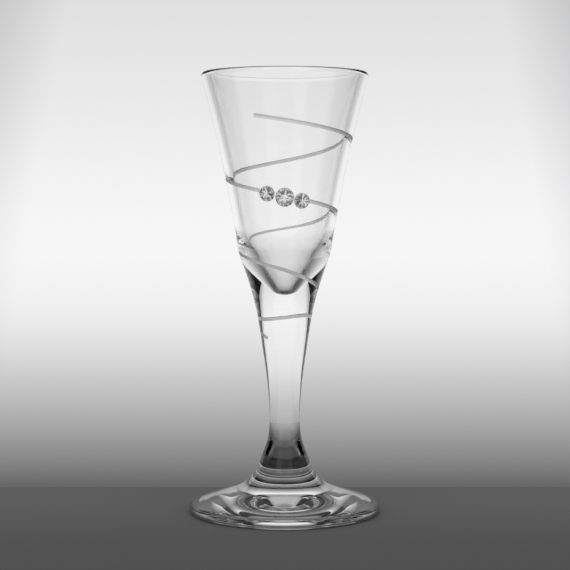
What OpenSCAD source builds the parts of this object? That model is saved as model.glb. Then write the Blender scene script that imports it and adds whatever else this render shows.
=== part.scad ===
// Trumpet-shaped liqueur glass on a solid drawn stem, with a spiral line ground into
// its outside and three foil-backed crystals glued across the line.
// The axis is Z, the foot rests on z = 0 and the crystals face -Y.

/* [Bowl] */
// Overall height of the glass
height = 136; // [128:0.5:144]
// Outer diameter of the rim
rim_d = 51.4; // [48:0.2:55]
// Thickness of the bowl's wall and of its rounded rim
wall = 2.5; // [1.8:0.1:3]
// Radius of the bowl's outward sweep, seen from the side
sweep_r = 483; // [400:1:700]
// Height of the shoulder where the bowl gives way to the stem
shoulder_z = 79.6; // [77:0.2:84]
// Diameter at the shoulder, before it is rounded
shoulder_d = 28.1; // [26:0.1:30]
// Radius that rounds the shoulder
shoulder_r = 16; // [8:1:30]
// Height of the lowest point inside the bowl
floor_z = 68.6; // [66:0.2:72]
// Radius of the rounded point at the bottom of the inside
floor_r = 3.5; // [3:0.1:5]
// Half angle of the funnel that narrows the inside to its point
funnel_angle = 34; // [31:0.5:37]
// Radius of the bend from the wall into the funnel
bend_r = 28; // [22:1:40]

/* [Stem] */
// Solid glass between the inside of the bowl and the weld to the stem
floor_t = 7; // [5:0.5:9]
// Radius of the flare from the stem up to the shoulder
flare_r = 93; // [80:1:110]
// Half angle of the straight cone in the middle of the stem
stem_angle = 8.6; // [7:0.2:10]
// Radius of the curve from the waist up to that cone
waist_r = 118; // [100:1:140]
// Diameter of the stem at its waist
waist_d = 9.4; // [8:0.1:11]
// Height of the waist
waist_z = 28; // [26:0.5:31]
// Radius of the curve from the waist down to the foot
base_r = 22; // [18:0.5:25]
// Half angle of the cone at the lower end of the stem
base_angle = 20.5; // [18:0.5:25]

/* [Foot] */
// Diameter of the foot
foot_d = 59; // [55:0.5:64]
// Thickness of the foot's rounded edge
edge_t = 3.4; // [2.6:0.1:4]
// Fall of the foot's top towards its edge, in degrees
foot_slope = 18; // [15:0.2:20]
// Radius of the curve between stem and foot
foot_r = 13; // [10:0.5:16]
// Width of the flat ring that the glass stands on
rest_w = 2; // [0.8:0.1:4]
// Height of the hollow under the foot
hollow_h = 2; // [0.8:0.1:3]

/* [Ground line] */
// Height at which the line begins
line_z = 121.9; // [117:0.1:125]
// Direction in which the line begins, in degrees from +X
line_start = -114; // [-130:1:-100]
// Fall of the line in one turn round the bowl
line_pitch = 22.3; // [20:0.1:24]
// Height below which the line falls faster, round the solid glass under the bowl
flare_z = 75.8; // [73:0.2:78]
// Fall of the line in one turn round that glass, down to the weld
flare_pitch = 29; // [26:0.1:31]
// Fall of the line in one turn round the stem
stem_pitch = 18.4; // [17:0.1:22]
// Turns from end to end
line_turns = 2.94; // [2.8:0.02:3.1]
// Width of the line on the surface
line_w = 1.2; // [0.8:0.1:1.6]
// Depth of the line
line_depth = 0.3; // [0.15:0.05:0.5]

/* [Crystals] */
// Diameter of the centre crystal
centre_d = 5.7; // [5:0.1:6.4]
// Height of the centre crystal
centre_h = 1.9; // [1.6:0.1:2.1]
// Diameter of the crystals beside it
side_d = 4.7; // [4:0.1:5.4]
// Height of the crystals beside it
side_h = 1.6; // [1.4:0.1:1.8]
// Gap between neighbouring crystals
crystal_gap = 0.25; // [0.15:0.05:0.5]
// Direction that the centre crystal faces, in degrees from +X
crystal_facing = 270; // [255:1:285]
// How far the crystals' middles sit below the middle of the line
crystal_drop = 0.4; // [0:0.1:0.8]
// Tilt of the main facets of a crystal's crown
crown_angle = 42; // [38:1:46]
// Height of a crystal's girdle above its flat back
girdle_t = 0.3; // [0.2:0.05:0.4]
// How much flatter the star facets lie than the main ones, in degrees
star_less = 15; // [10:1:20]
// How much steeper the girdle facets stand than the main ones, in degrees
girdle_more = 9; // [5:1:12]
// Thickness of the mirror foil on a crystal's back
foil_t = 0.08; // [0.05:0.01:0.15]
// Thickness of the adhesive at its thinnest
adhesive_t = 0.12; // [0.08:0.02:0.3]
// How far the adhesive stays inside the edge of its crystal
adhesive_in = 0.15; // [0.05:0.05:0.3]

/* [Hidden] */

glass_tint = [0.80, 0.86, 0.88, 0.45];
crystal_tint = [0.93, 0.94, 0.97, 0.8];
foil_tint = [0.75, 0.76, 0.78];
adhesive_tint = [0.95, 0.94, 0.88, 0.7];

// A point at the distances ra and rb from the points a and b, to the right of the way from a to b
function meet(a, ra, b, rb) =
    let (d = norm(b - a),
         along = (d * d + ra * ra - rb * rb) / (2 * d),
         off = sqrt(ra * ra - along * along),
         u = (b - a) / d)
    a + along * u + off * [u.y, -u.x];

// The direction from a to b, from 0 to 360 degrees
function bearing(a, b) = (atan2(b.y - a.y, b.x - a.x) + 360) % 360;

// Points on an arc about c, from one direction to another
function arc(c, r, from, to, steps) =
    [for (i = [0 : steps]) let (a = from + (to - from) * i / steps) c + r * [cos(a), sin(a)]];

// The point of the circle about a, of radius ra, that lies towards b
function towards(a, ra, b) = a + ra * (b - a) / norm(b - a);

// Outline of the bowl, as radius and height: the centres of its arcs and the points where they meet
lip = [rim_d / 2 - wall / 2, height - wall / 2];
shoulder = [shoulder_d / 2, shoulder_z];
waist = [waist_d / 2, waist_z];
sweep_c = meet(shoulder, sweep_r, lip, sweep_r + wall / 2);
waist_c = waist + [waist_r, 0];
stem_way = [sin(stem_angle), cos(stem_angle)];
stem_normal = [cos(stem_angle), -sin(stem_angle)];
stem_low = waist_c - waist_r * stem_normal;
shoulder_off = (shoulder - stem_low) * stem_normal;
stem_length = (shoulder - stem_low) * stem_way - sqrt(pow(flare_r, 2) - pow(flare_r - shoulder_off, 2));
flare_low = stem_low + stem_length * stem_way;
flare_c = flare_low + flare_r * stem_normal;
shoulder_c = meet(sweep_c, sweep_r + shoulder_r, flare_c, flare_r + shoulder_r);
shoulder_top = towards(sweep_c, sweep_r, shoulder_c);
shoulder_low = towards(flare_c, flare_r, shoulder_c);
floor_c = [0, floor_z + floor_r];
funnel_way = [sin(funnel_angle), cos(funnel_angle)];
funnel_normal = [cos(funnel_angle), -sin(funnel_angle)];
funnel_low = floor_c + floor_r * funnel_normal;
bend_off = funnel_low - bend_r * funnel_normal - sweep_c;
bend_along = bend_off * funnel_way;
bend_run = -bend_along - sqrt(pow(bend_along, 2) - bend_off * bend_off + pow(sweep_r + wall + bend_r, 2));
bend_c = sweep_c + bend_off + bend_run * funnel_way;
bend_top = towards(sweep_c, sweep_r + wall, bend_c);

// Weld between bowl and stem, and the cone at the stem's lower end
bowl_weld_z = floor_z - floor_t;
base_c = waist + [base_r, 0];
base_end = base_c - base_r * [cos(base_angle), sin(base_angle)];

// Outline of the foot: its edge, its sloping top and the curve up to the stem
edge_r = edge_t / 2;
edge_c = [foot_d / 2 - edge_r, edge_r];
top_normal = [sin(foot_slope), cos(foot_slope)];
cone_normal = [cos(base_angle), sin(base_angle)];
top_reach = edge_c * top_normal + edge_r + foot_r;
cone_reach = base_end * cone_normal + foot_r;
normals_cross = cone_normal.x * top_normal.y - cone_normal.y * top_normal.x;
foot_c = [cone_reach * top_normal.y - top_reach * cone_normal.y,
          top_reach * cone_normal.x - cone_reach * top_normal.x] / normals_cross;
foot_weld = foot_c - foot_r * cone_normal;
rest_in = edge_c.x - rest_w;
hollow_r = (rest_in * rest_in + hollow_h * hollow_h) / (2 * hollow_h);
hollow_c = [0, hollow_h - hollow_r];

// Outer radius of the bowl and the upper stem at a height, and the lean of the wall there
function outer_r(z) =
    z > shoulder_top.y ? sweep_c.x - sqrt(pow(sweep_r, 2) - pow(z - sweep_c.y, 2)) :
    z > shoulder_low.y ? shoulder_c.x + sqrt(pow(shoulder_r, 2) - pow(z - shoulder_c.y, 2)) :
    z > flare_low.y ? flare_c.x - sqrt(pow(flare_r, 2) - pow(z - flare_c.y, 2)) :
    z > stem_low.y ? stem_low.x + (z - stem_low.y) * tan(stem_angle) :
    waist_c.x - sqrt(pow(waist_r, 2) - pow(z - waist_c.y, 2));
// Points on that outline from one height to another
function outer_side(from, to, steps) =
    [for (i = [0 : steps]) let (z = from + (to - from) * i / steps) [outer_r(z), z]];
lean_step = 0.1;
function lean(z) = atan((outer_r(z + lean_step) - outer_r(z - lean_step)) / (2 * lean_step));

// The ground line: turns at which its fall changes, and its height after a number of turns
flare_turn = (line_z - flare_z) / line_pitch;
weld_turn = flare_turn + (flare_z - bowl_weld_z) / flare_pitch;
function line_height(t) =
    t < flare_turn ? line_z - t * line_pitch :
    t < weld_turn ? flare_z - (t - flare_turn) * flare_pitch :
    bowl_weld_z - (t - weld_turn) * stem_pitch;

// Crystals stand across the line, so their places follow it
centre_turn = (crystal_facing - line_start) / 360;
crystal_r = outer_r(line_height(centre_turn)) + adhesive_t + foil_t + girdle_t;
turn_length = norm([2 * PI * crystal_r, line_pitch]);
crystal_turn = ((centre_d + side_d) / 2 + crystal_gap) / turn_length;
crystals_turn = crystal_turn + (side_d / 2 + crystal_gap) / turn_length;

// Cutter for a stretch of the ground line: a wedge with a flat bottom that follows the wall
line_steps = 36;
line_over = 0.4;
function line_ring(t) =
    let (z = line_height(t),
         a = line_start + 360 * t,
         tilt = lean(z),
         flare = line_w / 4 * line_over / line_depth)
    [for (c = [[-line_depth, -line_w / 4], [line_over, -line_w / 2 - flare],
               [line_over, line_w / 2 + flare], [-line_depth, line_w / 4]])
        let (r = outer_r(z) + c[0] * cos(tilt) + c[1] * sin(tilt))
        [r * cos(a), r * sin(a), z - c[0] * sin(tilt) + c[1] * cos(tilt)]];

module line_cutter(from, to) {
    count = ceil((to - from) * line_steps);
    rings = [for (i = [0 : count]) line_ring(from + (to - from) * i / count)];
    sides = [for (i = [0 : count - 1], k = [0 : 3])
        let (a = 4 * i + k, b = 4 * i + (k + 1) % 4)
        each [[a, b, b + 4], [a, b + 4, a + 4]]];
    last = 4 * count;
    ends = [[0, 2, 1], [0, 3, 2], [last, last + 1, last + 2], [last, last + 2, last + 3]];
    polyhedron([for (ring = rings) each ring], concat(sides, ends), convexity = 8);
}

// The bowl as blown, before the line is ground
module bowl_blank(sides = 144) {
    lip_turn = bearing(lip, sweep_c) - 360;
    outline = concat(
        [[0, bowl_weld_z]],
        outer_side(bowl_weld_z, shoulder_low.y, 10),
        arc(shoulder_c, shoulder_r, bearing(shoulder_c, shoulder_low) - 360,
            bearing(shoulder_c, shoulder_top) - 360, 6),
        arc(sweep_c, sweep_r, bearing(sweep_c, shoulder_top), bearing(sweep_c, lip), 12),
        arc(lip, wall / 2, lip_turn, lip_turn + 180, 12),
        arc(sweep_c, sweep_r + wall, bearing(sweep_c, lip), bearing(sweep_c, bend_top), 10),
        arc(bend_c, bend_r, bearing(bend_c, bend_top), 360 - funnel_angle, 8),
        arc(floor_c, floor_r, 360 - funnel_angle, 270, 8));
    rotate_extrude($fn = sides) polygon(outline);
}

module bowl() {
    color(glass_tint) difference() {
        bowl_blank();
        line_cutter(0, centre_turn - crystals_turn);
        line_cutter(centre_turn + crystals_turn, weld_turn + 1 / line_steps);
    }
}

module stem() {
    outline = concat(
        [[0, foot_weld.y], foot_weld],
        arc(base_c, base_r, 180 + base_angle, 180, 10),
        outer_side(waist_z, bowl_weld_z, 18),
        [[0, bowl_weld_z]]);
    color(glass_tint) difference() {
        rotate_extrude($fn = 144) polygon(outline);
        line_cutter(weld_turn - 1 / line_steps, line_turns);
    }
}

module foot() {
    outline = concat(
        arc(hollow_c, hollow_r, 90, bearing(hollow_c, [rest_in, 0]), 10),
        arc(edge_c, edge_r, -90, 90 - foot_slope, 12),
        arc(foot_c, foot_r, 270 - foot_slope, 180 + base_angle, 12),
        [[0, foot_weld.y]]);
    color(glass_tint) rotate_extrude($fn = 144) polygon(outline);
}

// Stands its child on the wall just below a turn of the line, with Z pointing out of the glass
module on_wall(t, lift) {
    z = line_height(t) - crystal_drop;
    rotate(line_start + 360 * t)
        translate([outer_r(z), 0, z])
            rotate([0, 90 + lean(z), 0])
                translate([0, 0, lift]) children();
}

// Eight-sided pyramid whose faces, tilted from level, pass through the radius r at the height z
module pyramid(first, tilt, r, z) {
    sides = 8;
    base = r + z / tan(tilt);
    rotate(first) cylinder(r1 = base / cos(180 / sides), r2 = 0, h = base * tan(tilt), $fn = sides);
}

// Round crystal with a flat back, cut as a brilliant: table, star, main and girdle facets
module crystal(t, d, h) {
    table_r = d / 2 - (h - girdle_t) / tan(crown_angle);
    color(crystal_tint) on_wall(t, adhesive_t + foil_t) intersection() {
        cylinder(d = d, h = h, $fn = 64);
        pyramid(22.5, crown_angle, d / 2, girdle_t);
        pyramid(0, crown_angle - star_less, table_r * cos(22.5), h);
        pyramid(11.25, crown_angle + girdle_more, d / 2, girdle_t);
        pyramid(33.75, crown_angle + girdle_more, d / 2, girdle_t);
    }
}

module foil(t, d) {
    color(foil_tint) on_wall(t, adhesive_t) cylinder(d = d, h = foil_t, $fn = 64);
}

// Fills the space between a crystal's flat foil and the curved wall
module adhesive(t, d) {
    color(adhesive_tint) difference() {
        on_wall(t, adhesive_t - wall / 2) cylinder(d = d - 2 * adhesive_in, h = wall / 2, $fn = 128);
        bowl_blank(1440);
    }
}

left_turn = centre_turn - crystal_turn;
right_turn = centre_turn + crystal_turn;

bowl();
stem();
foot();
crystal(left_turn, side_d, side_h);  // crystal_left
crystal(centre_turn, centre_d, centre_h);  // crystal_centre
crystal(right_turn, side_d, side_h);  // crystal_right
foil(left_turn, side_d);  // foil_left
foil(centre_turn, centre_d);  // foil_centre
foil(right_turn, side_d);  // foil_right
adhesive(left_turn, side_d);  // adhesive_left
adhesive(centre_turn, centre_d);  // adhesive_centre
adhesive(right_turn, side_d);  // adhesive_right
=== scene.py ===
import math

import bpy
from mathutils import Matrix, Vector


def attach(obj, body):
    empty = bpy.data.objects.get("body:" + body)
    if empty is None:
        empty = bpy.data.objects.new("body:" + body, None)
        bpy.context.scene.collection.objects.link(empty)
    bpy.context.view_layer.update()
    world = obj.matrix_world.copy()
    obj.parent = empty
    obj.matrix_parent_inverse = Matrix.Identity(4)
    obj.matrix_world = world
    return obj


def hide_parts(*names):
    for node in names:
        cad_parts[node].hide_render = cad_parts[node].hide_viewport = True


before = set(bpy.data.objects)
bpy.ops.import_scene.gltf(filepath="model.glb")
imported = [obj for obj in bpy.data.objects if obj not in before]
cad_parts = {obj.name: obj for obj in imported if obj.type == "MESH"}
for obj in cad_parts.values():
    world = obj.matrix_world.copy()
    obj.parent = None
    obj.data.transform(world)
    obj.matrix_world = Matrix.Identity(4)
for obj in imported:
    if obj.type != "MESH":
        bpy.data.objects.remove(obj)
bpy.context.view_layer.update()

# Light is thrown back and let through many times inside solid glass before it leaves it.
scene = bpy.context.scene
scene.view_settings.view_transform = "Standard"
scene.cycles.max_bounces = 24
scene.cycles.glossy_bounces = 16
scene.cycles.transmission_bounces = 16


# The view of the photograph: a long lens half a metre in front of the glass and about level
# with the middle of its bowl, tipped down by about three degrees.
view_back = 0.5056
view_z = 0.0984
view_tip = math.radians(3.15)
bpy.ops.object.select_all(action="DESELECT")
bpy.ops.object.camera_add(location=(0, -view_back, view_z), rotation=(math.pi / 2 - view_tip, 0, 0))
view = bpy.context.object
view.name = "view"
view.data.sensor_width = 36
view.data.lens = 103.5
view.data.shift_x = 0.0005
scene.camera = view


# The bowl: a trumpet of clear soda glass, blown and fire-polished at the rim. Its wall is of
# even thickness and bends into a funnel, which ends in a rounded point over solid glass.
height = 0.136
rim_d = 0.0514
wall = 0.0025
sweep_r = 0.483
shoulder = Vector((0.01405, 0.0796))
shoulder_r = 0.016
floor_z = 0.0686
floor_r = 0.0035
floor_t = 0.007
funnel_angle = math.radians(34)
bend_r = 0.028
bowl_weld_z = floor_z - floor_t
flare_r = 0.093
stem_angle = math.radians(8.6)
waist_r = 0.118
waist = Vector((0.0047, 0.028))
sides = 288
hem = 0.0002
near = 1e-6
turned_angle = math.radians(8)


def meet(a, reach_a, b, reach_b):
    """The point at two distances from two points, to the right of the way from a to b."""
    apart = (b - a).length
    along = (apart ** 2 + reach_a ** 2 - reach_b ** 2) / (2 * apart)
    off = math.sqrt(reach_a ** 2 - along ** 2)
    way = (b - a) / apart
    return a + along * way + off * Vector((way.y, -way.x))


def towards(centre, radius, point):
    """The point of a circle that lies towards another point."""
    return centre + radius * (point - centre).normalized()


def begin_profile(name, at):
    """A new object in edit mode, with one vertex in the XZ plane to draw a profile from."""
    bpy.ops.object.select_all(action="DESELECT")
    bpy.ops.mesh.primitive_plane_add(size=0.001)
    piece = bpy.context.object
    piece.name = name
    piece.data.name = name
    bpy.ops.object.mode_set(mode="EDIT")
    bpy.ops.mesh.merge(type="CENTER")
    bpy.ops.transform.translate(value=(at.x, 0, at.y))
    return piece


def draw_line(start, end, steps):
    """Extrudes the profile's last vertex along a straight line."""
    step = (end - start) / steps
    for _ in range(steps):
        bpy.ops.mesh.extrude_region_move(TRANSFORM_OT_translate={"value": (step.x, 0, step.y)})


def draw_arc(centre, start, end, steps):
    """Spins the profile's last vertex round a centre, the short way."""
    first, last = start - centre, end - centre
    turn = math.atan2(first.x * last.y - first.y * last.x, first.dot(last))
    bpy.ops.mesh.spin(steps=steps, angle=turn, center=(centre.x, 0, centre.y), axis=(0, 1, 0))


def turn_profile():
    """Spins the drawn profile round the glass's axis and closes its seam and poles."""
    bpy.ops.mesh.select_all(action="SELECT")
    bpy.ops.mesh.spin(steps=sides, angle=2 * math.pi, center=(0, 0, 0), axis=(0, 0, 1))
    bpy.ops.mesh.select_all(action="SELECT")
    bpy.ops.mesh.remove_doubles(threshold=near)
    bpy.ops.mesh.normals_make_consistent(inside=False)
    bpy.ops.object.mode_set(mode="OBJECT")
    bpy.ops.object.shade_smooth_by_angle(angle=turned_angle)


lip = Vector((rim_d / 2 - wall / 2, height - wall / 2))
sweep_c = meet(shoulder, sweep_r, lip, sweep_r + wall / 2)
waist_c = waist + Vector((waist_r, 0))
stem_way = Vector((math.sin(stem_angle), math.cos(stem_angle)))
stem_normal = Vector((math.cos(stem_angle), -math.sin(stem_angle)))
stem_low = waist_c - waist_r * stem_normal
shoulder_off = (shoulder - stem_low).dot(stem_normal)
flare_run = math.sqrt(flare_r ** 2 - (flare_r - shoulder_off) ** 2)
flare_low = stem_low + ((shoulder - stem_low).dot(stem_way) - flare_run) * stem_way
flare_c = flare_low + flare_r * stem_normal
shoulder_c = meet(sweep_c, sweep_r + shoulder_r, flare_c, flare_r + shoulder_r)
shoulder_top = towards(sweep_c, sweep_r, shoulder_c)
shoulder_low = towards(flare_c, flare_r, shoulder_c)
floor_c = Vector((0, floor_z + floor_r))
floor_low = Vector((0, floor_z))
funnel_way = Vector((math.sin(funnel_angle), math.cos(funnel_angle)))
funnel_normal = Vector((math.cos(funnel_angle), -math.sin(funnel_angle)))
funnel_low = floor_c + floor_r * funnel_normal
funnel_hem = funnel_low + hem * funnel_way
bend_off = funnel_low - bend_r * funnel_normal - sweep_c
bend_reach = sweep_r + wall + bend_r
bend_along = bend_off.dot(funnel_way)
bend_run = -bend_along - math.sqrt(bend_along ** 2 - bend_off.length_squared + bend_reach ** 2)
bend_c = sweep_c + bend_off + bend_run * funnel_way
bend_top = towards(sweep_c, sweep_r + wall, bend_c)
bend_low = bend_c + bend_r * funnel_normal
lip_out = towards(lip, wall / 2, sweep_c)
lip_in = lip + lip - lip_out
lip_top = lip + Vector((lip.y - lip_out.y, lip_out.x - lip.x))
hem_out = towards(sweep_c, sweep_r, lip_out - Vector((0, hem)))
hem_in = towards(sweep_c, sweep_r + wall, lip_in - Vector((0, hem)))
weld_r = flare_c.x - math.sqrt(flare_r ** 2 - (bowl_weld_z - flare_c.y) ** 2)
bowl_weld = Vector((weld_r, bowl_weld_z))
bowl_weld_middle = Vector((0, bowl_weld_z))

# A narrow hem beside each tight rounding keeps its shading off the long faces of the wall.
bowl = begin_profile("blown_bowl", bowl_weld_middle)
draw_line(bowl_weld_middle, bowl_weld, 2)
draw_arc(flare_c, bowl_weld, shoulder_low, 30)
draw_arc(shoulder_c, shoulder_low, shoulder_top, 16)
draw_arc(sweep_c, shoulder_top, hem_out, 34)
draw_arc(sweep_c, hem_out, lip_out, 2)
draw_arc(lip, lip_out, lip_top, 16)
draw_arc(lip, lip_top, lip_in, 16)
draw_arc(sweep_c, lip_in, hem_in, 2)
draw_arc(sweep_c, hem_in, bend_top, 32)
draw_arc(bend_c, bend_top, bend_low, 24)
draw_line(bend_low, funnel_hem, 14)
draw_line(funnel_hem, funnel_low, 2)
draw_arc(floor_c, funnel_low, floor_low, 18)
turn_profile()


def new_material(name, kind):
    """A material with one shader on its output, and that shader."""
    material = bpy.data.materials.new(name)
    material.use_nodes = True
    material.node_tree.nodes.clear()
    shader = material.node_tree.nodes.new(kind)
    output = material.node_tree.nodes.new("ShaderNodeOutputMaterial")
    material.node_tree.links.new(shader.outputs[0], output.inputs["Surface"])
    return material, shader


def add_node(material, kind, **settings):
    """A node with some of its sockets set or linked by name."""
    node = material.node_tree.nodes.new(kind)
    for name, value in settings.items():
        socket = node.inputs[name.replace("_", " ")]
        if isinstance(value, bpy.types.NodeSocket):
            material.node_tree.links.new(value, socket)
        else:
            socket.default_value = value
    return node


def vary(material, pattern, low, high):
    """A number that follows a pattern between two limits."""
    return add_node(material, "ShaderNodeMapRange", Value=pattern, To_Min=low, To_Max=high).outputs[0]


def grain(material, scale, detail):
    """A pattern of fine spots all through a piece."""
    place = add_node(material, "ShaderNodeTexCoord").outputs["Object"]
    return add_node(material, "ShaderNodeTexNoise", Vector=place, Scale=scale, Detail=detail).outputs[0]


clear_glass, glass_shader = new_material("clear_glass", "ShaderNodeBsdfPrincipled")
glass_shader.inputs["Transmission Weight"].default_value = 1.0
glass_shader.inputs["IOR"].default_value = 1.52
glass_shader.inputs["Roughness"].default_value = 0.0
glass_place = add_node(clear_glass, "ShaderNodeTexCoord").outputs["Object"]
drawn_place = add_node(clear_glass, "ShaderNodeMapping", Vector=glass_place, Scale=(160, 160, 18))
drawn_waves = add_node(clear_glass, "ShaderNodeTexNoise",
                       Vector=drawn_place.outputs[0], Scale=1.0, Detail=1.0).outputs[0]
drawn_bump = add_node(clear_glass, "ShaderNodeBump", Height=drawn_waves, Strength=0.04, Distance=0.0002)
glass_tint = vary(clear_glass, drawn_waves, 0.996, 1.0)
clear_glass.node_tree.links.new(glass_tint, glass_shader.inputs["Base Color"])
clear_glass.node_tree.links.new(drawn_bump.outputs[0], glass_shader.inputs["Normal"])

fused_glass, fused_shader = new_material("fused_glass", "ShaderNodeBsdfTransparent")
fused_tint = vary(fused_glass, grain(fused_glass, 160.0, 1.0), 0.996, 1.0)
fused_glass.node_tree.links.new(fused_tint, fused_shader.inputs["Color"])


def glaze(piece, weld_heights):
    """Gives a piece its clear glass, and fused glass on the flat faces where it is welded."""
    piece.data.materials.append(clear_glass)
    piece.data.materials.append(fused_glass)
    for face in piece.data.polygons:
        level = any(abs(face.center.z - weld) < near for weld in weld_heights)
        face.material_index = 1 if level else 0


glaze(bowl, [bowl_weld_z])
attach(bowl, "root")
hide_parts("bowl")


# The stem: solid glass drawn down from under the bowl to a slim waist and widening again
# to a short cone, where the foot is welded on hot.
base_r = 0.022
base_angle = math.radians(20.5)
foot_d = 0.059
edge_r = 0.0017
foot_slope = math.radians(18)
foot_r = 0.013

base_c = waist + Vector((base_r, 0))
cone_normal = Vector((math.cos(base_angle), math.sin(base_angle)))
base_end = base_c - base_r * cone_normal
edge_c = Vector((foot_d / 2 - edge_r, edge_r))
top_normal = Vector((math.sin(foot_slope), math.cos(foot_slope)))
top_reach = edge_c.dot(top_normal) + edge_r + foot_r
cone_reach = base_end.dot(cone_normal) + foot_r
normals_cross = cone_normal.x * top_normal.y - cone_normal.y * top_normal.x
foot_c = Vector((cone_reach * top_normal.y - top_reach * cone_normal.y,
                 top_reach * cone_normal.x - cone_reach * top_normal.x)) / normals_cross
foot_weld = foot_c - foot_r * cone_normal
foot_weld_middle = Vector((0, foot_weld.y))

stem = begin_profile("drawn_stem", foot_weld_middle)
draw_line(foot_weld_middle, foot_weld, 2)
draw_line(foot_weld, base_end, 6)
draw_arc(base_c, base_end, waist, 30)
draw_arc(waist_c, waist, stem_low, 24)
draw_line(stem_low, flare_low, 12)
draw_arc(flare_c, flare_low, bowl_weld, 8)
draw_line(bowl_weld, bowl_weld_middle, 2)
turn_profile()
glaze(stem, [foot_weld.y, bowl_weld_z])
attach(stem, "root")
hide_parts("stem")


# The foot: a pressed disc of the same glass, sloping to a rounded edge, hollowed a little
# underneath so that it stands on a narrow flat ring.
rest_w = 0.002
hollow_h = 0.002

rest_in = Vector((edge_c.x - rest_w, 0))
hollow_r = (rest_in.x ** 2 + hollow_h ** 2) / (2 * hollow_h)
hollow_top = Vector((0, hollow_h))
hollow_c = Vector((0, hollow_h - hollow_r))
edge_low = Vector((edge_c.x, 0))
edge_top = edge_c + edge_r * top_normal
slope_top = foot_c - foot_r * top_normal
slope_hem = edge_top + hem * (slope_top - edge_top).normalized()

foot = begin_profile("pressed_foot", hollow_top)
draw_arc(hollow_c, hollow_top, rest_in, 36)
draw_line(rest_in, edge_low, 4)
draw_arc(edge_c, edge_low, edge_top, 30)
draw_line(edge_top, slope_hem, 2)
draw_line(slope_hem, slope_top, 16)
draw_arc(foot_c, slope_top, foot_weld, 40)
draw_line(foot_weld, foot_weld_middle, 2)
turn_profile()
glaze(foot, [foot_weld.y])
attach(foot, "root")
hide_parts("foot")


# The ground line: a shallow round groove that a wheel has cut round the outside of the bowl
# and the stem, left matte. It stops at the crystals and goes on beyond them.
line_z = 0.1219
line_start = -114
line_pitch = 0.0223
flare_z = 0.0758
flare_pitch = 0.029
stem_pitch = 0.0184
line_turns = 2.94
line_w = 0.0012
line_depth = 0.0003
path_steps = 120
ground_angle = math.radians(30)
centre_d = 0.0057
side_d = 0.0047
crystal_gap = 0.00025
crystal_facing = 270
crystal_drop = 0.0004
adhesive_t = 0.00012
foil_t = 0.00008
girdle_t = 0.0003


def outer_r(z):
    """Outer radius of the bowl and the upper stem at a height."""
    if z > shoulder_top.y:
        return sweep_c.x - math.sqrt(sweep_r ** 2 - (z - sweep_c.y) ** 2)
    if z > shoulder_low.y:
        return shoulder_c.x + math.sqrt(shoulder_r ** 2 - (z - shoulder_c.y) ** 2)
    if z > flare_low.y:
        return flare_c.x - math.sqrt(flare_r ** 2 - (z - flare_c.y) ** 2)
    return stem_low.x + (z - stem_low.y) * math.tan(stem_angle)


def lean(z):
    """How far the wall leans outwards at a height, as an angle."""
    step = 0.0001
    return math.atan((outer_r(z + step) - outer_r(z - step)) / (2 * step))


flare_turn = (line_z - flare_z) / line_pitch
weld_turn = flare_turn + (flare_z - bowl_weld_z) / flare_pitch


def line_height(turn):
    """Height of the line after a number of turns."""
    if turn < flare_turn:
        return line_z - turn * line_pitch
    if turn < weld_turn:
        return flare_z - (turn - flare_turn) * flare_pitch
    return bowl_weld_z - (turn - weld_turn) * stem_pitch


def on_wall(turn, drop, lift):
    """A point on the wall at a turn of the line, or below it, lifted off the wall."""
    z = line_height(turn) - drop
    a = math.radians(line_start + 360 * turn)
    r = outer_r(z) + lift * math.cos(lean(z))
    return Vector((r * math.cos(a), r * math.sin(a), z - lift * math.sin(lean(z))))


centre_turn = (crystal_facing - line_start) / 360
crystal_r = outer_r(line_height(centre_turn)) + adhesive_t + foil_t + girdle_t
turn_length = math.hypot(2 * math.pi * crystal_r, line_pitch)
crystal_turn = ((centre_d + side_d) / 2 + crystal_gap) / turn_length
crystals_turn = crystal_turn + (side_d / 2 + crystal_gap) / turn_length
wheel_r = (line_w ** 2 / 4 + line_depth ** 2) / (2 * line_depth)

ground_glass, ground_shader = new_material("ground_glass", "ShaderNodeBsdfPrincipled")
ground_shader.inputs["Transmission Weight"].default_value = 0.6
ground_shader.inputs["IOR"].default_value = 1.52
ground_grain = grain(ground_glass, 4000.0, 3.0)
ground_bump = add_node(ground_glass, "ShaderNodeBump", Height=ground_grain, Strength=0.3, Distance=0.00005)
ground_tone = vary(ground_glass, ground_grain, 0.68, 0.86)
ground_rough = vary(ground_glass, ground_grain, 0.65, 0.85)
ground_glass.node_tree.links.new(ground_tone, ground_shader.inputs["Base Color"])
ground_glass.node_tree.links.new(ground_rough, ground_shader.inputs["Roughness"])
ground_glass.node_tree.links.new(ground_bump.outputs[0], ground_shader.inputs["Normal"])


def wheel_path(name, start, end):
    """The space that the wheel passes through between two turns of the line."""
    count = math.ceil((end - start) * path_steps)
    path = bpy.data.curves.new(name, "CURVE")
    path.dimensions = "3D"
    path.bevel_depth = wheel_r
    path.bevel_resolution = 6
    path.use_fill_caps = True
    spline = path.splines.new("POLY")
    spline.points.add(count)
    for k, point in enumerate(spline.points):
        turn = start + (end - start) * k / count
        point.co = (*on_wall(turn, 0, wheel_r - line_depth), 1)
    cutter = bpy.data.objects.new(name, path)
    scene.collection.objects.link(cutter)
    bpy.ops.object.select_all(action="DESELECT")
    bpy.context.view_layer.objects.active = cutter
    cutter.select_set(True)
    bpy.ops.object.convert(target="MESH")
    cutter.data.materials.append(ground_glass)
    bpy.ops.object.mode_set(mode="EDIT")
    bpy.ops.mesh.select_all(action="SELECT")
    bpy.ops.mesh.remove_doubles(threshold=near)
    bpy.ops.mesh.normals_make_consistent(inside=False)
    bpy.ops.object.mode_set(mode="OBJECT")
    bpy.ops.object.shade_smooth()
    return cutter


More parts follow.
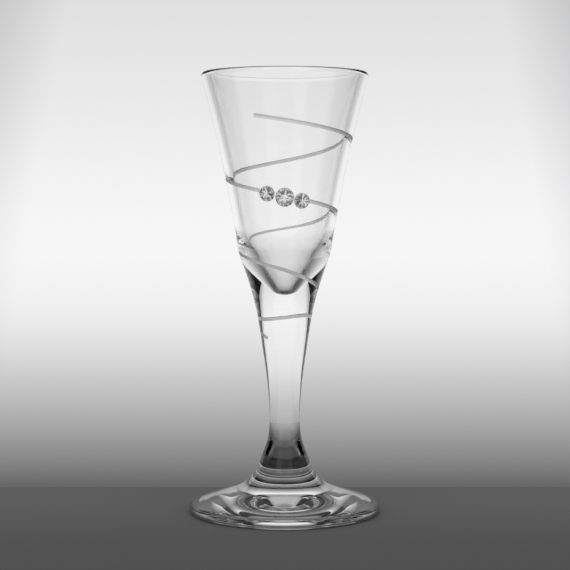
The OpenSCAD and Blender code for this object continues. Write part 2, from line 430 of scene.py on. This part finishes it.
upper_path = wheel_path("wheel_path_upper", 0, centre_turn - crystals_turn)
lower_path = wheel_path("wheel_path_lower", centre_turn + crystals_turn, line_turns)
for piece, path in ((bowl, upper_path), (bowl, lower_path), (stem, lower_path)):
    bpy.ops.object.select_all(action="DESELECT")
    bpy.context.view_layer.objects.active = piece
    piece.select_set(True)
    grind = piece.modifiers.new("grind", "BOOLEAN")
    grind.operation = "DIFFERENCE"
    grind.solver = "EXACT"
    grind.material_mode = "TRANSFER"
    grind.object = path
    bpy.ops.object.modifier_apply(modifier=grind.name)
    bpy.ops.object.shade_smooth_by_angle(angle=ground_angle)
bpy.data.objects.remove(upper_path)
bpy.data.objects.remove(lower_path)


# The crystals: three round stones of clear glass, a larger one between two smaller, cut with
# a table and with star, main and girdle facets. A star is pressed into each mirrored back.
centre_h = 0.0019
side_h = 0.0016
mains = 8
facet_turn = 8
crown_angle = math.radians(42)
star_angle = math.radians(27)
girdle_angle = math.radians(51)
rays = 8
ray_h = 0.04
ray_rim = 0.04
blank_sides = 64
cut_near = 1e-8
crystal_lift = 0.000004

cut_crystal, crystal_shader = new_material("cut_crystal", "ShaderNodeBsdfPrincipled")
crystal_shader.inputs["Transmission Weight"].default_value = 1.0
crystal_shader.inputs["IOR"].default_value = 1.56
crystal_cords = grain(cut_crystal, 700.0, 1.0)
crystal_tint = vary(cut_crystal, crystal_cords, 0.985, 1.0)
crystal_polish = vary(cut_crystal, crystal_cords, 0.0, 0.02)
cut_crystal.node_tree.links.new(crystal_tint, crystal_shader.inputs["Base Color"])
cut_crystal.node_tree.links.new(crystal_polish, crystal_shader.inputs["Roughness"])

mirror_foil, foil_shader = new_material("mirror_foil", "ShaderNodeBsdfPrincipled")
foil_shader.inputs["Metallic"].default_value = 1.0
foil_grain = grain(mirror_foil, 900.0, 2.0)
foil_tone = vary(mirror_foil, foil_grain, 0.9, 0.97)
foil_rough = vary(mirror_foil, foil_grain, 0.03, 0.12)
mirror_foil.node_tree.links.new(foil_tone, foil_shader.inputs["Base Color"])
mirror_foil.node_tree.links.new(foil_rough, foil_shader.inputs["Roughness"])


def grind_facets(count, first, tilt, reach, z):
    """Cuts a ring of flat facets that pass through a radius at a height."""
    out = math.sin(tilt)
    for k in range(count):
        a = math.radians(first + 360 * k / count)
        bpy.ops.mesh.select_all(action="SELECT")
        bpy.ops.mesh.bisect(plane_co=(reach * math.cos(a), reach * math.sin(a), z),
                            plane_no=(out * math.cos(a), out * math.sin(a), math.cos(tilt)),
                            use_fill=True, clear_outer=True, threshold=cut_near)


def press_star(stone, d):
    """Presses a star of flat rays into a crystal's back, inside a narrow flat rim."""
    for corner in stone.data.vertices:
        corner.select = corner.co.z < near
    bpy.ops.object.mode_set(mode="EDIT")
    bpy.ops.mesh.inset(thickness=ray_rim * d)
    bpy.ops.mesh.poke()
    bpy.ops.object.mode_set(mode="OBJECT")
    half_ray = math.pi / rays
    for corner in stone.data.vertices:
        if corner.co.z < near and 0 < corner.co.xy.length < (0.5 - ray_rim / 2) * d:
            fold = abs((math.atan2(corner.co.y, corner.co.x) + half_ray) % (2 * half_ray) - half_ray)
            corner.co.z = ray_h * d * math.sin(fold) / math.sin(half_ray)


def cut_stone(name, d, h):
    """One crystal on its back at the origin, cut from a round blank."""
    bpy.ops.object.select_all(action="DESELECT")
    bpy.ops.mesh.primitive_cylinder_add(vertices=blank_sides, radius=d / 2, depth=h, location=(0, 0, h / 2))
    stone = bpy.context.object
    stone.name = name
    stone.data.name = name
    bpy.ops.object.transform_apply(location=True, rotation=True, scale=True)
    bpy.ops.object.mode_set(mode="EDIT")
    table_r = d / 2 - (h - girdle_t) / math.tan(crown_angle)
    half_main = 180 / mains
    grind_facets(mains, facet_turn, crown_angle, d / 2, girdle_t)
    grind_facets(mains, facet_turn + half_main, star_angle, table_r * math.cos(math.radians(half_main)), h)
    grind_facets(2 * mains, facet_turn + half_main / 2, girdle_angle, d / 2, girdle_t)
    bpy.ops.object.mode_set(mode="OBJECT")
    press_star(stone, d)
    stone.data.materials.append(cut_crystal)
    stone.data.materials.append(mirror_foil)
    for face in stone.data.polygons:
        face.material_index = 1 if face.normal.z < -0.5 else 0
    return stone


def set_stone(stone, turn):
    """Stands a crystal on the wall at a turn of the line, facing out."""
    tip = lean(line_height(turn) - crystal_drop)
    stone.rotation_euler = (0, math.pi / 2 + tip, math.radians(line_start + 360 * turn))
    stone.location = on_wall(turn, crystal_drop, adhesive_t + foil_t + crystal_lift)
    bpy.ops.object.select_all(action="DESELECT")
    bpy.context.view_layer.objects.active = stone
    stone.select_set(True)
    bpy.ops.object.transform_apply(location=True, rotation=True, scale=True)


centre_stone = cut_stone("brilliant_centre", centre_d, centre_h)
left_stone = cut_stone("brilliant_left", side_d, side_h)
right_stone = left_stone.copy()
right_stone.data = left_stone.data.copy()
right_stone.name = "brilliant_right"
right_stone.data.name = "brilliant_right"
scene.collection.objects.link(right_stone)
set_stone(left_stone, centre_turn - crystal_turn)
set_stone(centre_stone, centre_turn)
set_stone(right_stone, centre_turn + crystal_turn)
for stone, place in ((left_stone, "left"), (centre_stone, "centre"), (right_stone, "right")):
    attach(stone, "root")
    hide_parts("crystal_" + place)


# The foils and the adhesive: a mirror coat on the back of each crystal, and the clear cured
# resin that fills the space between it and the curved wall.
clear_adhesive, adhesive_shader = new_material("clear_adhesive", "ShaderNodeBsdfPrincipled")
adhesive_shader.inputs["Transmission Weight"].default_value = 0.9
adhesive_shader.inputs["IOR"].default_value = 1.5
adhesive_cure = grain(clear_adhesive, 1500.0, 2.0)
adhesive_tone = vary(clear_adhesive, adhesive_cure, 0.86, 0.98)
adhesive_rough = vary(clear_adhesive, adhesive_cure, 0.05, 0.25)
clear_adhesive.node_tree.links.new(adhesive_tone, adhesive_shader.inputs["Base Color"])
clear_adhesive.node_tree.links.new(adhesive_rough, adhesive_shader.inputs["Roughness"])
for place in ("left", "centre", "right"):
    for node, finish in (("foil_", mirror_foil), ("adhesive_", clear_adhesive)):
        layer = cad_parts[node + place]
        layer.data.materials.clear()
        layer.data.materials.append(finish)


# The stage: a dark table that turns pale in front of the glass, with painted sheen that lightens it towards
# the sheet, and a sheet that leans back from close behind it and glows with painted light, darkest at its
# foot, in a dim room that is black to either side.
table_w = 6
sheet_rows = ((0.042, 0.0, 0.12), (0.118, 0.077, 0.16), (0.262, 0.192, 0.24))


def grade(material, value, stops):
    """A ramp of greys over a value, from stops in rising order."""
    low, high = stops[0][0], stops[-1][0]
    span = add_node(material, "ShaderNodeMapRange", Value=value, From_Min=low, From_Max=high)
    ramp = material.node_tree.nodes.new("ShaderNodeValToRGB")
    material.node_tree.links.new(span.outputs[0], ramp.inputs["Fac"])
    for place, _ in stops[1:-1]:
        ramp.color_ramp.elements.new((place - low) / (high - low))
    for stop, (_, grey) in zip(ramp.color_ramp.elements, stops):
        stop.color = (grey, grey, grey, 1)
    return ramp.outputs["Color"]


def work_out(material, operation, first, second):
    """A number worked out from two others."""
    node = material.node_tree.nodes.new("ShaderNodeMath")
    node.operation = operation
    for value, socket in zip((first, second), node.inputs):
        if isinstance(value, bpy.types.NodeSocket):
            material.node_tree.links.new(value, socket)
        else:
            socket.default_value = value
    return node.outputs[0]


table_grey, table_shader = new_material("table_grey", "ShaderNodeBsdfDiffuse")
table_place = add_node(table_grey, "ShaderNodeTexCoord").outputs["Object"]
table_y = add_node(table_grey, "ShaderNodeSeparateXYZ", Vector=table_place).outputs["Y"]
# Painted sheen: the table's dark grey lightens towards the sheet, as a glossy table mirroring the sheet's
# light would.
table_grey_and_painted_sheen = grade(table_grey, table_y,
                   [(-0.3, 0.9), (-0.1, 0.85), (-0.085, 0.085), (-0.04, 0.094), (0.0, 0.117), (0.05, 0.135)])
table_grey.node_tree.links.new(table_grey_and_painted_sheen, table_shader.inputs["Color"])

bpy.ops.object.select_all(action="DESELECT")
bpy.ops.mesh.primitive_plane_add(size=table_w)
table = bpy.context.object
table.name = "table"
table.data.materials.append(table_grey)

sheet_light, sheet_shader = new_material("sheet_light", "ShaderNodeMixShader")
sheet_place = add_node(sheet_light, "ShaderNodeTexCoord").outputs["Object"]
sheet_axes = add_node(sheet_light, "ShaderNodeSeparateXYZ", Vector=sheet_place)
# Painted light: the sheet glows darkest at its foot and brightest a little above it, as light falling on a
# sweep would look.
sheet_painted_light_grade = grade(sheet_light, sheet_axes.outputs["Z"],
                   [(0.0, 0.13), (0.042, 0.715), (0.05, 0.81), (0.06, 0.88), (0.075, 0.922), (0.09, 0.915),
                    (0.11, 0.88), (0.14, 0.815), (0.192, 0.74)])
# Painted light: the sheet's glow dims towards its sides.
sheet_off = work_out(sheet_light, "ABSOLUTE", sheet_axes.outputs["X"], 0)
sheet_fall = grade(sheet_light, sheet_off,
                   [(0.0, 1.0), (0.1, 1.0), (0.14, 0.72), (0.2, 0.55), (0.4, 0.4)])
sheet_glow = add_node(sheet_light, "ShaderNodeEmission", Color=sheet_painted_light_grade, Strength=sheet_fall)
sheet_back = add_node(sheet_light, "ShaderNodeBsdfTransparent")
sheet_side = add_node(sheet_light, "ShaderNodeNewGeometry").outputs["Backfacing"]
sheet_light.node_tree.links.new(sheet_side, sheet_shader.inputs["Fac"])
sheet_light.node_tree.links.new(sheet_glow.outputs[0], sheet_shader.inputs[1])
sheet_light.node_tree.links.new(sheet_back.outputs[0], sheet_shader.inputs[2])

bpy.ops.object.select_all(action="DESELECT")
bpy.ops.mesh.primitive_grid_add(x_subdivisions=1, y_subdivisions=len(sheet_rows) - 1, size=1)
sheet = bpy.context.object
sheet.name = "sheet"
for k, (y, z, half) in enumerate(sheet_rows):
    sheet.data.vertices[2 * k].co = (-half, y, z)
    sheet.data.vertices[2 * k + 1].co = (half, y, z)
sheet.data.materials.append(sheet_light)

room = bpy.data.worlds.new("room")
scene.world = room
room.use_nodes = True
room.node_tree.nodes.clear()


def blend(low, high, factor):
    """A colour of the room between two others."""
    mix = add_node(room, "ShaderNodeMix")
    mix.data_type = "RGBA"
    room.node_tree.links.new(factor, mix.inputs["Factor"])
    room.node_tree.links.new(low, mix.inputs[6])
    room.node_tree.links.new(high, mix.inputs[7])
    return mix.outputs[2]


room_way = add_node(room, "ShaderNodeTexCoord").outputs["Generated"]
room_axes = add_node(room, "ShaderNodeSeparateXYZ", Vector=room_way)
room_z = room_axes.outputs["Z"]
room_turn = work_out(room, "ARCTAN2", room_axes.outputs["X"], room_axes.outputs["Y"])
room_walls = grade(room, room_turn,
                   [(-math.pi, 0.2), (-2.95, 0.2), (-2.8, 0.5), (-2.5, 0.5), (-2.4, 0.0), (-0.52, 0.0),
                    (-0.38, 0.33), (0.38, 0.33), (0.52, 0.0), (2.4, 0.0), (2.5, 0.4), (2.8, 0.4),
                    (2.95, 0.2), (math.pi, 0.2)])
room_skirt = grade(room, room_turn,
                   [(-math.pi, 0.4), (-2.95, 0.4), (-2.8, 0.95), (-2.5, 0.95), (-2.4, 0.0), (2.4, 0.0),
                    (2.5, 0.6), (2.8, 0.6), (math.pi, 0.4)])
room_ceiling = grade(room, room_z, [(0, 0.4), (0.87, 0.4), (0.93, 0.16), (1, 0.16)])
room_low = add_node(room, "ShaderNodeMapRange", Value=room_z, From_Min=0.22, From_Max=0.3).outputs[0]
room_up = add_node(room, "ShaderNodeMapRange", Value=room_z, From_Min=0.72, From_Max=0.79).outputs[0]
room_sides = blend(room_skirt, room_walls, room_low)
room_seen = add_node(room, "ShaderNodeBackground", Color=blend(room_sides, room_ceiling, room_up))
room_plain = add_node(room, "ShaderNodeBackground", Color=(1, 1, 1, 1), Strength=0.8)

# The room shows straight on, in mirrors and through glass. Matte faces get plain light instead.
room_rays = add_node(room, "ShaderNodeLightPath")
room_mirrored = work_out(room, "ADD", room_rays.outputs["Is Camera Ray"], room_rays.outputs["Is Glossy Ray"])
room_shown = work_out(room, "ADD", room_mirrored, room_rays.outputs["Is Transmission Ray"])
room_mix = add_node(room, "ShaderNodeMixShader", Fac=room_shown)
room.node_tree.links.new(room_plain.outputs[0], room_mix.inputs[1])
room.node_tree.links.new(room_seen.outputs[0], room_mix.inputs[2])
add_node(room, "ShaderNodeOutputWorld", Surface=room_mix.outputs[0])


# The light: one broad soft lamp above and in front of the glass, turned towards it. The glass
# doesn't show the lamp itself, only the sheet and the room.
lamp_front = 0.32
lamp_z = 0.62
lamp_tip = math.radians(30)
bpy.ops.object.select_all(action="DESELECT")
bpy.ops.object.light_add(type="AREA", location=(0, -lamp_front, lamp_z), rotation=(lamp_tip, 0, 0))
soft_lamp = bpy.context.object
soft_lamp.name = "soft_lamp"
soft_lamp.data.shape = "SQUARE"
soft_lamp.data.size = 0.5
soft_lamp.data.energy = 1.0
soft_lamp.visible_glossy = False
soft_lamp.visible_transmission = False
